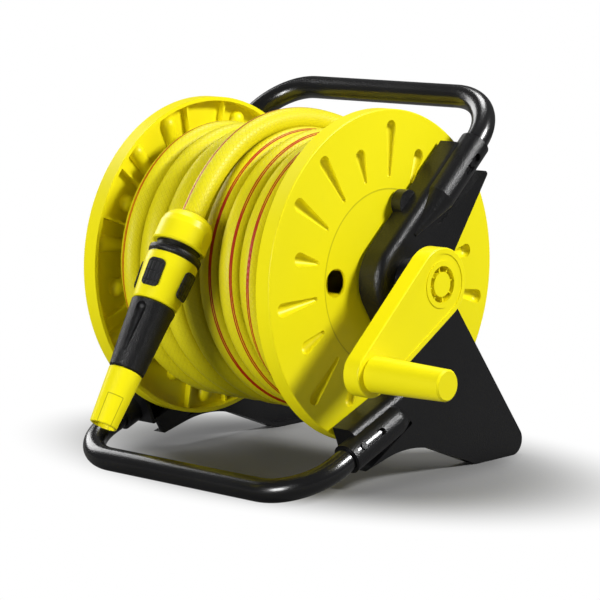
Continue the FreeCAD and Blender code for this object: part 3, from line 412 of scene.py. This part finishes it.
def hose_skin(name, colour, stripe_colour):
    """Soft hose wall: a cross-wound braid just showing, and a coloured stripe along it with a thin
    pale line of painted highlight down its middle in places. The map gives metres along the hose,
    then turns around it."""
    finish = Finish(name, Specular_IOR_Level=0.25)
    mapped = finish.node("ShaderNodeUVMap", {"uv_map": "along"})
    along = finish.node("ShaderNodeSeparateXYZ", {}, mapped, out="X")
    around = finish.node("ShaderNodeSeparateXYZ", {}, mapped, out="Y")

    def thread(turned):
        """1 along the threads that are wound one way."""
        place = (turned.wrapped(1.0) * BRAID_THREADS).wrapped(1.0)
        return place.distance_to(0.5).ramp(0.36, 0.5)

    wound = along / (BRAID_PITCH * BRAID_THREADS)
    braid = thread(wound + around).math("MAXIMUM", thread(wound - around))
    cloud = finish.noise(scale=30.0, detail=3.0)
    tone = finish.shades(cloud, colour, 0.93, 1.06)
    tone = finish.mix(braid * 0.22, tone, shade(colour, 0.82))
    line = around.distance_to(STRIPE_PLACE)
    band = 1 - line.ramp(*STRIPE_EDGE)
    # the stripe's pale middle line is a painted highlight, broken into dashes by noise
    pale = (1 - line.ramp(*STRIPE_GLINT)) * finish.noise(scale=14.0, detail=1.0).ramp(0.45, 0.6)
    tone = finish.mix(band * 0.97, tone, shade(stripe_colour, 1.0))
    tone = finish.mix(pale * 0.8, tone, shade(colour, 1.1))
    finish.set("Base Color", tone)
    finish.set("Roughness", cloud * 0.10 + braid * 0.06 + 0.36)
    wall = braid * -0.6 + finish.noise(scale=700.0, detail=2.0) * 0.4
    finish.bump(wall, 0.35 * MM, strength=0.6)
    return finish.material


def soft_grip(name, colour):
    """Soft black grip with rows of short raised bars that point along the hose end."""
    finish = Finish(name, Specular_IOR_Level=0.4)
    along, turned = hose_end_places(finish)
    around = (turned * GRIP_BARS).wrapped(1.0)
    rows = (along / GRIP_BAR_PITCH).wrapped(1.0)
    bars = 1 - around.distance_to(0.5).ramp(0.22, 0.36)
    breaks = 1 - rows.distance_to(0.5).ramp(0.36, 0.46)
    raised = bars * breaks
    fine = finish.noise(scale=1200.0, detail=2.0)
    finish.set("Base Color", finish.shades(raised, colour, 0.6, 2.2))
    finish.set("Roughness", fine * 0.1 + 0.42)
    finish.bump(raised + fine * 0.1, 0.8 * MM)
    return finish.material


def plated_steel(name):
    finish = Finish(name, Metallic=1.0)
    brushed = finish.noise(scale=220.0, detail=4.0)
    finish.set("Base Color", finish.mix(brushed, *STEEL))
    finish.set("Roughness", brushed * 0.2 + 0.24)
    return finish.material


def seal_rubber(name):
    finish = Finish(name)
    fine = finish.noise(scale=600.0, detail=3.0)
    finish.set("Base Color", finish.mix(fine, *RUBBER))
    finish.set("Roughness", fine * 0.15 + 0.5)
    finish.bump(fine, 0.1 * MM)
    return finish.material


def backdrop(name, colour):
    """Floor that shows white to the camera, apart from a patch under the object that is painted grey
    as a painted shadow and also keeps its cast shadows, and that is darker to every other ray, so
    little light comes back up from it."""
    finish = Finish(name, Roughness=0.9, Specular_IOR_Level=0.1)
    squeezed = finish.vector("MULTIPLY", finish.place(), SHADOW_SQUEEZE)
    away = finish.vector("DISTANCE", squeezed, SHADOW_MIDDLE, out="Value")
    # the patch under the object is painted grey, a painted shadow; the lit floor in it also shows
    # the cast shadows
    shadow_patch = 1 - away.ramp(*SHADOW_FADE)
    camera_ray = finish.node("ShaderNodeLightPath", {}, out="Is Camera Ray")
    seen = finish.shades(finish.noise(scale=1.2, detail=2.0), colour, 0.99, 1.0)
    finish.set("Base Color", finish.mix(camera_ray, FLOOR_BOUNCE, seen))
    lit = Signal(finish, finish.shader.outputs[0])
    white = finish.node("ShaderNodeEmission", {}, Color=WHITE, Strength=1.0)
    shown = finish.node("ShaderNodeMixShader", {}, camera_ray * (1 - shadow_patch), lit, white)
    finish.feed(finish.output.inputs[0], shown)
    return finish.material


# ------------------------------------------------------------------ settings


def colour_setting(name, description, default):
    return bpy.props.FloatVectorProperty(
        name=name,
        description=description,
        subtype="COLOR",
        size=3,
        min=0.0,
        max=1.0,
        default=default,
    )


def length_setting(name, description, default):
    return bpy.props.FloatProperty(
        name=name, description=description, subtype="DISTANCE", unit="LENGTH", default=default
    )


class ReelColours(bpy.types.PropertyGroup):
    """Colours of the reel's mouldings and hose."""

    yellow: colour_setting(
        "Yellow parts", "Drum, crank and connector mouldings", (0.90, 0.80, 0.005)
    )
    black: colour_setting("Black parts", "Side panels and nozzle mouldings", (0.004, 0.004, 0.0045))
    hose: colour_setting("Hose", "Wall of the hose", (0.74, 0.66, 0.009))
    stripe: colour_setting("Hose stripe", "Thin line along the hose", (0.42, 0.008, 0.002))


class ReelHose(bpy.types.PropertyGroup):
    """How the hose is wound."""

    diameter: length_setting("Hose diameter", "Outside diameter of the hose", 17.5 * MM)
    layers: bpy.props.IntProperty(
        name="Layers", description="Layers of hose on the barrel", default=3, min=1
    )
    turns: bpy.props.IntProperty(
        name="Turns", description="Turns of hose in each hidden layer", default=9, min=2
    )
    unevenness: length_setting(
        "Unevenness", "How far a turn strays sideways from its neat place", 0.7 * MM
    )


# ------------------------------------------------------------------ modelling helpers


def from_data(name, points, faces):
    mesh = bpy.data.meshes.new(name)
    mesh.from_pydata([tuple(point) for point in points], [], faces)
    mesh.update()
    made = bpy.data.objects.new(name, mesh)
    bpy.context.scene.collection.objects.link(made)
    return made


def smooth_line(name, points):
    """The NURBS line through the route's control points, as closely spaced points."""
    curve = bpy.data.curves.new(name, "CURVE")
    curve.dimensions = "3D"
    spline = curve.splines.new("NURBS")
    spline.points.add(len(points) - 1)
    for control, point in zip(spline.points, points):
        control.co = (*point, 1.0)
    spline.order_u = 3
    spline.use_endpoint_u = True
    spline.resolution_u = 4
    holder = bpy.data.objects.new(name, curve)
    line = bpy.data.meshes.new_from_object(holder)
    found = [vertex.co.copy() for vertex in line.vertices]
    bpy.data.objects.remove(holder)
    bpy.data.curves.remove(curve)
    bpy.data.meshes.remove(line)
    return found


def map_along(tube, travelled):
    """Maps a tube's faces: metres along it, and turns around it."""
    layer = tube.data.uv_layers.new(name="along")
    for polygon in tube.data.polygons:
        end_face = len(polygon.vertices) > 4
        polygon.use_smooth = not end_face
        closes_ring = polygon.vertices[1] < polygon.vertices[0]
        for loop, vertex in zip(polygon.loop_indices, polygon.vertices):
            ring, step = divmod(vertex, HOSE_SIDES)
            around = 1.0 if closes_ring and step == 0 else step / HOSE_SIDES
            layer.data[loop].uv = (travelled[ring], END_FACE_AROUND if end_face else around)


def hose_tube(name, line, radius, lies):
    """A closed tube along a line, and its length. lies gives, at each point, how far the hose's
    stripe lies from the drum's outward side towards -X, in turns."""
    points, faces = [], []
    travelled = [0.0]
    for index, point in enumerate(line):
        before = line[max(index - 1, 0)]
        after = line[min(index + 1, len(line) - 1)]
        tangent = (after - before).normalized()
        outward = point - Vector((point.x, *DRUM_AXIS.yz))
        normal = (outward - tangent * outward.dot(tangent)).normalized()
        side = tangent.cross(normal)
        if index:
            travelled.append(travelled[-1] + (point - before).length)
        for step in range(HOSE_SIDES):
            angle = 2 * math.pi * (step / HOSE_SIDES + lies[index] - STRIPE_PLACE)
            points.append(point + (normal * math.cos(angle) + side * math.sin(angle)) * radius)
    for ring in range(len(line) - 1):
        for step in range(HOSE_SIDES):
            low = ring * HOSE_SIDES + step
            high = ring * HOSE_SIDES + (step + 1) % HOSE_SIDES
            faces.append((low, high, high + HOSE_SIDES, low + HOSE_SIDES))
    faces.append(tuple(reversed(range(HOSE_SIDES))))
    last = (len(line) - 1) * HOSE_SIDES
    faces.append(tuple(last + step for step in range(HOSE_SIDES)))
    tube = from_data(name, points, faces)
    map_along(tube, travelled)
    return tube, travelled[-1]


def finish_piece(piece, material, body):
    piece.data.materials.clear()
    piece.data.materials.append(material)
    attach(piece, body)


def give(material, *nodes):
    """Gives CAD nodes their material."""
    for node in nodes:
        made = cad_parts[node]
        if not made.data.materials:
            made.data.materials.append(material)
        for index in range(len(made.data.materials)):
            made.data.materials[index] = material


# ------------------------------------------------------------------ the hose


def winding_lanes(hose):
    """The lanes of each layer, from the innermost out, in the order in which they are wound."""
    span = WINDING_HALF - hose.diameter / 2
    even = [-span + 2 * span * turn / (hose.turns - 1) for turn in range(hose.turns)]
    lanes = [even if layer % 2 == 0 else even[::-1] for layer in range(hose.layers - 1)]
    return lanes + [[place * MM for place in OUTER_LANES]]


def crossing(share):
    """How far a turn has gone over to the next lane: it crosses in the last part of the turn."""
    crossed = (share - (1 - CROSSING_SHARE)) / CROSSING_SHARE
    return 0.5 - 0.5 * math.cos(math.pi * min(max(crossed, 0), 1))


def winding_route(hose):
    """Control points of the wound hose: layer on layer, each turn beside the last."""
    stray = random.Random(STRAY_SEED)
    # the spline runs inside control points that stand round a circle, so they stand further out
    spread = 1 / (0.75 + 0.25 * math.cos(2 * math.pi / TURN_STEPS))
    points = []
    total = 0
    for layer, order in enumerate(winding_lanes(hose)):
        outermost = layer == hose.layers - 1
        level = WINDING_RADIUS - hose.diameter / 2 - (hose.layers - 1 - layer) * hose.diameter
        strays = [stray.uniform(-1, 1) * hose.unevenness for _ in order]
        depths = [stray.uniform(-1, 0) * hose.unevenness * DEPTH_PER_STRAY for _ in order]
        strays.append(strays[-1])
        depths.append(depths[-1])
        for turn, lane in enumerate(order):
            ends_layer = turn == len(order) - 1
            following = lane if ends_layer else order[turn + 1]
            for step in range(TURN_STEPS):
                share = step / TURN_STEPS
                if ends_layer and outermost and share > LAST_TURN_SHARE:
                    break
                shift = crossing(share)
                x = between(lane + strays[turn], following + strays[turn + 1], shift)
                height = level + between(depths[turn], depths[turn + 1], shift)
                if ends_layer and not outermost:
                    height += hose.diameter * shift
                if total == 0 and share < START_DIP_SHARE:
                    height -= START_DIP * (1 - share / START_DIP_SHARE) ** 2
                points.append(on_drum(x, START_ANGLE + 360 * (total + share), height * spread))
            total += 1
    return points


def winding_lies(hose, line):
    """Where the stripe lies at each point of the wound hose."""
    inner_turns = sum(len(lanes) for lanes in winding_lanes(hose)[:-1])
    lies = []
    turned = 0.0
    before = None
    for point in line:
        angle = math.atan2(point.z - DRUM_AXIS.z, point.y - DRUM_AXIS.y) / (2 * math.pi)
        if before is not None:
            # the shorter way round from the point before
            turned += (angle - before + 0.5) % 1.0 - 0.5
        before = angle
        place = max(turned - inner_turns, 0.0)
        turn = min(int(place), len(OUTER_LIES) - 1)
        following = OUTER_LIES[min(turn + 1, len(OUTER_LIES) - 1)]
        lies.append(between(OUTER_LIES[turn], following, crossing(min(place - turn, 1.0))))
    return lies


def hose_material():
    """The hose's finish, which both its pieces share."""
    colours = bpy.context.scene.hose_reel_colours
    found = bpy.data.materials.get("hose_skin")
    return found or hose_skin("hose_skin", colours.hose, colours.stripe)


class HOSEREEL_OT_wound_hose(bpy.types.Operator):
    """Adds the hose that is wound on the drum"""

    bl_idname = "hosereel.wound_hose"
    bl_label = "Wound hose"

    def execute(self, context):
        hose = context.scene.hose_reel_hose
        line = smooth_line("wound_hose_line", winding_route(hose))
        lies = winding_lies(hose, line)
        tube, length = hose_tube("wound_hose", line, hose.diameter / 2, lies)
        finish_piece(tube, hose_material(), "drum")
        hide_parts("hose_winding")
        return {"FINISHED"}


class HOSEREEL_OT_free_hose(bpy.types.Operator):
    """Adds the hose's free end, which leaves the winding and hangs in front with its nozzle"""

    bl_idname = "hosereel.free_hose"
    bl_label = "Free hose end"

    def execute(self, context):
        hose = context.scene.hose_reel_hose
        route = [on_drum(x * MM, angle, radius * MM) for x, angle, radius in FREE_END_ROUTE]
        route.append(NUT_MOUTH - SPRAY_WAY * HOSE_BEFORE_NUT)
        route.append(NUT_MOUTH + SPRAY_WAY * HOSE_IN_NUT)
        line = smooth_line("free_hose_line", route)
        lies = [between(*FREE_END_LIES, index / len(line)) for index in range(len(line))]
        tube, length = hose_tube("free_hose", line, hose.diameter / 2, lies)
        finish_piece(tube, hose_material(), "frame")
        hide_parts("hose_free_end")
        return {"FINISHED"}


# ------------------------------------------------------------------ finishes on the CAD nodes


class HOSEREEL_OT_frame_finish(bpy.types.Operator):
    """Finishes the side panels and tubes"""

    bl_idname = "hosereel.frame_finish"
    bl_label = "Frame finish"

    def execute(self, context):
        colours = context.scene.hose_reel_colours
        panel = moulded_black(
            "panel_black", colours.black, grain=900.0, depth=0.18 * MM, roughness=0.33
        )
        give(panel, "side_panel_crank", "side_panel_inlet")
        give(coated_tube("tube_coating", TUBE_BLACK), "handle_tube", "base_tube")
        return {"FINISHED"}


class HOSEREEL_OT_drum_finish(bpy.types.Operator):
    """Finishes the drum, its covers, the crank and the other yellow or pale mouldings"""

    bl_idname = "hosereel.drum_finish"
    bl_label = "Drum finish"

    def execute(self, context):
        colours = context.scene.hose_reel_colours
        drum = plain_moulding("drum_yellow", colours.yellow, roughness=0.38)
        give(drum, "drum_half_crank", "drum_half_inlet")
        cover_low, cover_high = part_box("hub_cover_crank")
        seam = (cover_high.z - cover_low.z) / 2 - COVER_SEAM_INSET
        cover = cover_moulding(
            "cover_yellow", shade(colours.yellow, 0.98), roughness=0.38, seam=seam
        )
        give(cover, "hub_cover_crank", "hub_cover_inlet")
        give(
            plain_moulding("fitting_yellow", colours.yellow, roughness=0.34),
            "crank_arm",
            "crank_cap",
            "crank_grip",
            "inlet_elbow",
            "connector_nut",
            "release_sleeve",
        )
        give(tip_moulding("tip_yellow", colours.yellow, roughness=0.34), "nozzle_tip")
        pale = plain_moulding("pale_moulding", PALE_MOULDING, roughness=0.45)
        give(pale, "drive_shaft", "water_axle", "drum_outlet_elbow")
        return {"FINISHED"}


class HOSEREEL_OT_fitting_finish(bpy.types.Operator):
    """Finishes the bushes, black hose fittings, pins, screws and seals"""

    bl_idname = "hosereel.fitting_finish"
    bl_label = "Fitting finish"

    def execute(self, context):
        colours = context.scene.hose_reel_colours
        give(
            moulded_black(
                "fitting_black", colours.black, grain=1400.0, depth=0.2 * MM, roughness=0.34
            ),
            "axle_bush_crank",
            "axle_bush_inlet",
            "inlet_nipple",
            "hose_collet",
            "connector_core",
            "connector_ring",
            "nozzle_body",
            "spray_pin",
            "handle_snap_pins",
            "base_snap_pins",
        )
        give(soft_grip("soft_grip", colours.black), "sleeve_pads")
        give(
            plated_steel("plated_steel"),
            "cover_screws_crank",
            "cover_screws_inlet",
            "axle_clip",
            "hose_clamp",
            "crank_screw",
            "grip_pin",
            "sleeve_spring",
        )
        give(seal_rubber("seal_rubber"), "axle_seal_rings", "plug_seal_ring")
        return {"FINISHED"}


# ------------------------------------------------------------------ the studio


def add_floor():
    bpy.ops.object.select_all(action="DESELECT")
    bpy.ops.mesh.primitive_plane_add(size=FLOOR_SIZE, location=(0, 0, 0))
    floor = bpy.context.object
    floor.name = "studio_floor"
    floor.data.materials.append(backdrop("studio_white", PAINTED_SHADOW_GREY))


def add_world(scene):
    """A world that shows white to the camera and lights the object weakly."""
    world = bpy.data.worlds.new("studio_world")
    scene.world = world
    world.use_nodes = True
    tree = world.node_tree
    sky = tree.nodes["Background"]
    sky.inputs["Color"].default_value = WHITE
    path = tree.nodes.new("ShaderNodeLightPath")
    level = tree.nodes.new("ShaderNodeMapRange")
    level.inputs["To Min"].default_value = WORLD_LIGHT
    level.inputs["To Max"].default_value = 1.0
    tree.links.new(path.outputs["Is Camera Ray"], level.inputs["Value"])
    tree.links.new(level.outputs[0], sky.inputs["Strength"])


def add_facing(name, data, aim, azimuth, elevation, distance):
    """Adds a lamp or camera that faces a point from an azimuth, 0 at the front, and an elevation."""
    turn, rise = math.radians(azimuth), math.radians(elevation)
    way = Vector(
        (math.sin(turn) * math.cos(rise), -math.cos(turn) * math.cos(rise), math.sin(rise))
    )
    holder = bpy.data.objects.new(name, data)
    holder.location = aim + way * distance
    holder.rotation_euler = way.to_track_quat("Z", "Y").to_euler()
    bpy.context.scene.collection.objects.link(holder)
    return holder


def add_lamps():
    for name, azimuth, elevation, distance, width, watts in LAMPS:
        lamp = bpy.data.lights.new(name, "AREA")
        lamp.shape = "SQUARE"
        lamp.size = width
        lamp.energy = watts
        add_facing(name, lamp, LAMP_AIM, azimuth, elevation, distance)


def add_camera(scene):
    camera = bpy.data.cameras.new("camera")
    camera.sensor_width = CAMERA_SENSOR
    camera.lens = CAMERA_LENS
    camera.clip_end = CAMERA_CLIP_END
    scene.camera = add_facing(
        "camera", camera, CAMERA_AIM, CAMERA_AZIMUTH, CAMERA_ELEVATION, CAMERA_DISTANCE
    )


class HOSEREEL_OT_studio(bpy.types.Operator):
    """Adds the floor, lamps, world and camera"""

    bl_idname = "hosereel.studio"
    bl_label = "Studio"

    def execute(self, context):
        context.scene.view_settings.view_transform = "Standard"
        add_floor()
        add_world(context.scene)
        add_lamps()
        add_camera(context.scene)
        return {"FINISHED"}


class HOSEREEL_PT_panel(bpy.types.Panel):
    """Lists the reel's colours, hose sizes and pieces"""

    bl_idname = "HOSEREEL_PT_panel"
    bl_label = "Hose Reel"
    bl_space_type = "VIEW_3D"
    bl_region_type = "UI"
    bl_category = "Hose Reel"

    def draw(self, context):
        for group in (context.scene.hose_reel_colours, context.scene.hose_reel_hose):
            for name in group.__annotations__:
                self.layout.prop(group, name)
        for operator in OPERATORS:
            self.layout.operator(operator.bl_idname)


OPERATORS = (
    HOSEREEL_OT_frame_finish,
    HOSEREEL_OT_drum_finish,
    HOSEREEL_OT_fitting_finish,
    HOSEREEL_OT_wound_hose,
    HOSEREEL_OT_free_hose,
    HOSEREEL_OT_studio,
)
CLASSES = (ReelColours, ReelHose, *OPERATORS, HOSEREEL_PT_panel)


def register():
    for kind in CLASSES:
        bpy.utils.register_class(kind)
    bpy.types.Scene.hose_reel_colours = bpy.props.PointerProperty(type=ReelColours)
    bpy.types.Scene.hose_reel_hose = bpy.props.PointerProperty(type=ReelHose)


def unregister():
    del bpy.types.Scene.hose_reel_hose
    del bpy.types.Scene.hose_reel_colours
    for kind in reversed(CLASSES):
        bpy.utils.unregister_class(kind)


def main():
    register()
    bpy.ops.hosereel.frame_finish()
    bpy.ops.hosereel.drum_finish()
    bpy.ops.hosereel.fitting_finish()
    bpy.ops.hosereel.wound_hose()
    bpy.ops.hosereel.free_hose()
    bpy.ops.hosereel.studio()


if __name__ == "__main__":
    main()
